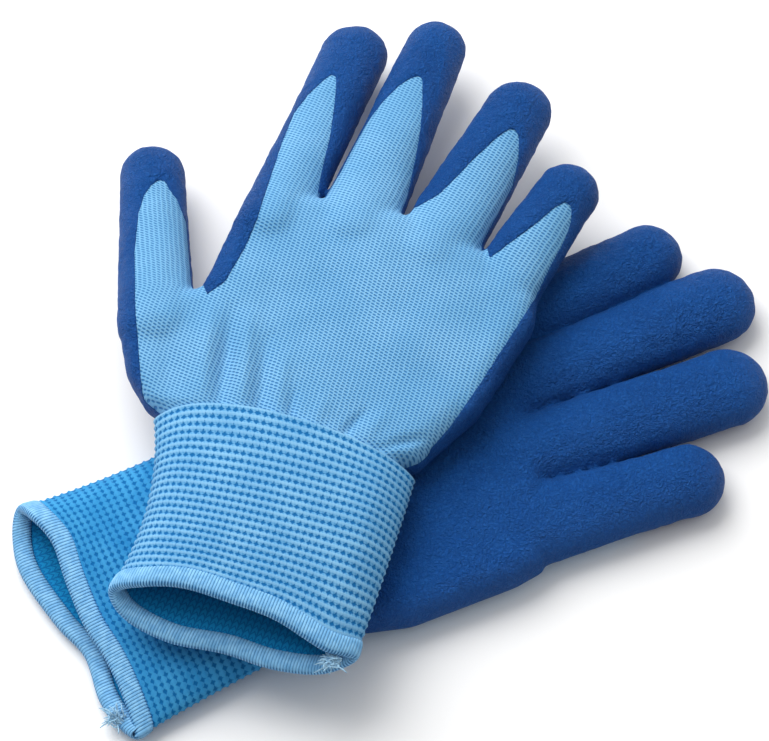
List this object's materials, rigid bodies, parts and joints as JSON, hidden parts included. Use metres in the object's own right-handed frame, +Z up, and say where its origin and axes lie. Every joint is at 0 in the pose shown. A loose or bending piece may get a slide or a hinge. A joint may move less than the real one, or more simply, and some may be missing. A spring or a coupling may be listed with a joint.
{
  "type": "gardening gloves",
  "caption": "Pair of knitted gardening gloves with latex-coated palms and fingertips, lying crossed, with folding digits.",
  "frame": {"origin": "middle of the flat back of the left glove's hand, on the surface that the pair lies on", "axes": "+Z up from the surface, +Y towards the right glove's fingertips, +X to the right as the wearer of the upper glove sees it"},
  "size_m": [0.2247, 0.2431, 0.037],
  "materials": {
    "liner_knit": "knitted jersey",
    "cuff_knit": "ribbed knit",
    "overlock_thread": "overlocked thread",
    "latex": "crinkled, matt",
    "elastic": "covered yarn"
  },
  "bodies": {
    "left_hand": {"left_knit_hand": "liner_knit", "left_latex_palm": "latex", "left_rib_cuff": "cuff_knit", "left_cuff_elastic": "elastic", "left_overlock_hem": "overlock_thread", "left_thread_tail": "overlock_thread"},
    "left_thumb": {"left_knit_thumb": "liner_knit", "left_latex_thumb": "latex"},
    "left_index": {"left_knit_index": "liner_knit", "left_latex_index": "latex"},
    "left_middle": {"left_knit_middle": "liner_knit", "left_latex_middle": "latex"},
    "left_ring": {"left_knit_ring": "liner_knit", "left_latex_ring": "latex"},
    "left_little": {"left_knit_little": "liner_knit", "left_latex_little": "latex"},
    "right_hand": {"right_knit_hand": "liner_knit", "right_latex_palm": "latex", "right_rib_cuff": "cuff_knit", "right_cuff_elastic": "elastic", "right_overlock_hem": "overlock_thread", "right_thread_tail": "overlock_thread"},
    "right_thumb": {"right_knit_thumb": "liner_knit", "right_latex_thumb": "latex"},
    "right_index": {"right_knit_index": "liner_knit", "right_latex_index": "latex"},
    "right_middle": {"right_knit_middle": "liner_knit", "right_latex_middle": "latex"},
    "right_ring": {"right_knit_ring": "liner_knit", "right_latex_ring": "latex"},
    "right_little": {"right_knit_little": "liner_knit", "right_latex_little": "latex"}
  },
  "joints": [
    {"name": "right_lift", "type": "slide", "parent": "left_hand", "child": "right_hand", "axis": [0, 0, 1], "range_m": [0, 0.15]},
    {"name": "left_thumb_swing", "type": "hinge", "parent": "left_hand", "child": "left_thumb", "pos_m": [-0.03891, 0.04911, 0], "axis": [0, 0, 1], "range_deg": [0, 5]},
    {"name": "left_index_swing", "type": "hinge", "parent": "left_hand", "child": "left_index", "pos_m": [0.01439, 0.05485, 0], "axis": [0, 0, 1], "range_deg": [0, 8]},
    {"name": "left_middle_curl", "type": "hinge", "parent": "left_hand", "child": "left_middle", "pos_m": [0.03242, 0.02759, 0.0149], "axis": [0.4228, -0.9062, 0], "range_deg": [0, 3]},
    {"name": "left_ring_curl", "type": "hinge", "parent": "left_hand", "child": "left_ring", "pos_m": [0.04017, 0.00513, 0.0149], "axis": [0.2328, -0.9725, 0], "range_deg": [0, 75]},
    {"name": "left_little_curl", "type": "hinge", "parent": "left_hand", "child": "left_little", "pos_m": [0.04261, -0.02122, 0.0149], "axis": [-0.0305, -0.9995, 0], "range_deg": [0, 75]},
    {"name": "right_thumb_fold", "type": "hinge", "parent": "right_hand", "child": "right_thumb", "pos_m": [-0.07128, 0.04968, 0.0318], "axis": [0.9959, 0.0906, 0], "range_deg": [0, 45]},
    {"name": "right_index_fold", "type": "hinge", "parent": "right_hand", "child": "right_index", "pos_m": [-0.03643, 0.08427, 0.0318], "axis": [0.996, -0.0895, 0], "range_deg": [0, 45]},
    {"name": "right_middle_fold", "type": "hinge", "parent": "right_hand", "child": "right_middle", "pos_m": [-0.0124, 0.08033, 0.0318], "axis": [0.9762, -0.2167, 0], "range_deg": [0, 45]},
    {"name": "right_ring_fold", "type": "hinge", "parent": "right_hand", "child": "right_ring", "pos_m": [0.01346, 0.0705, 0.0318], "axis": [0.8756, -0.483, 0], "range_deg": [0, 45]},
    {"name": "right_little_fold", "type": "hinge", "parent": "right_hand", "child": "right_little", "pos_m": [0.03465, 0.05464, 0.0318], "axis": [0.6977, -0.7164, 0], "range_deg": [0, 45]}
  ]
}
